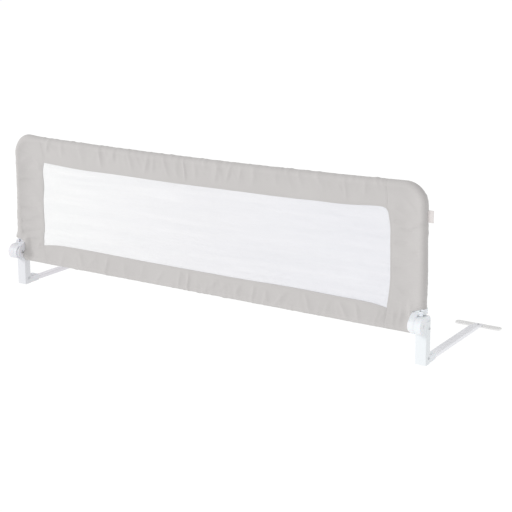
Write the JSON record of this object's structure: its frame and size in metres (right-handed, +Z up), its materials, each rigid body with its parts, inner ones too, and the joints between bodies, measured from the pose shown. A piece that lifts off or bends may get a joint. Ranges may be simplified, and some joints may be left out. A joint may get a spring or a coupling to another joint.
{
  "type": "folding bed guard rail",
  "caption": "Folding bed guard rail: a cloth and net cover on a tube frame, swinging down on hinged posts with leg bars that lie under the mattress.",
  "frame": {"origin": "middle of the overall box seen from above, at the level of the bed base that the leg bars' feet and the posts stand on", "axes": "+X along the rail to the right as seen from the room, +Y from the room towards the bed and along the leg bars, +Z up"},
  "size_m": [1.628, 0.4524, 0.512],
  "materials": {
    "white_paint": "satin white powder coat",
    "white_moulding": "fine matt white",
    "grey_cloth": "warm light grey woven polyester",
    "white_net": "white fine mesh",
    "zinc_steel": "zinc plated",
    "label_tape": "pale woven tape, bare"
  },
  "bodies": {
    "left_support": {"left_post": "white_paint", "left_leg_bracket": "white_moulding", "left_bracket_bolt": "zinc_steel", "left_bracket_nut": "zinc_steel", "left_leg_bar": "white_paint", "left_leg_screw": "zinc_steel", "left_foot_bar": "white_paint", "left_foot_screw": "zinc_steel", "left_hinge_housing": "white_moulding", "left_housing_screw": "zinc_steel", "left_pivot_pin": "zinc_steel", "left_pivot_nut": "zinc_steel"},
    "rail": {"left_corner_connector": "white_moulding", "left_lock_spring": "zinc_steel", "left_corner_tube": "white_paint", "left_top_sleeve": "zinc_steel", "left_bottom_tube": "white_paint", "left_cover_side_strip": "grey_cloth", "right_corner_connector": "white_moulding", "right_lock_spring": "zinc_steel", "right_corner_tube": "white_paint", "right_top_sleeve": "zinc_steel", "right_bottom_tube": "white_paint", "right_cover_side_strip": "grey_cloth", "top_tube": "white_paint", "bottom_sleeve": "zinc_steel", "cover_top_band": "grey_cloth", "cover_bottom_band": "grey_cloth", "window_net": "white_net", "label_loop": "label_tape"},
    "right_support": {"right_post": "white_paint", "right_leg_bracket": "white_moulding", "right_bracket_bolt": "zinc_steel", "right_bracket_nut": "zinc_steel", "right_leg_bar": "white_paint", "right_leg_screw": "zinc_steel", "right_foot_bar": "white_paint", "right_foot_screw": "zinc_steel", "right_hinge_housing": "white_moulding", "right_housing_screw": "zinc_steel", "right_pivot_pin": "zinc_steel", "right_pivot_nut": "zinc_steel"},
    "left_lock": {"left_lock_slider": "white_moulding"},
    "right_lock": {"right_lock_slider": "white_moulding"}
  },
  "joints": [
    {"name": "rail_fold", "type": "hinge", "parent": "left_support", "child": "rail", "pos_m": [-0.7405, -0.20225, 0.118], "axis": [1, 0, 0], "range_deg": [0, 180]},
    {"name": "right_support_fold", "type": "hinge", "parent": "rail", "child": "right_support", "pos_m": [0.7405, -0.20225, 0.118], "axis": [1, 0, 0], "range_deg": [-180, 0]},
    {"name": "left_lock_slide", "type": "slide", "parent": "rail", "child": "left_lock", "axis": [0, 0, 1], "range_m": [0, 0.0045], "stiffness_N_per_m": 600, "springref_m": -0.004, "deforming": ["left_lock_spring"]},
    {"name": "right_lock_slide", "type": "slide", "parent": "rail", "child": "right_lock", "axis": [0, 0, 1], "range_m": [0, 0.0045], "stiffness_N_per_m": 600, "springref_m": -0.004, "deforming": ["right_lock_spring"]}
  ],
  "couplings": [
    {"joint": "right_support_fold", "follows": "rail_fold", "ratio": -1}
  ]
}
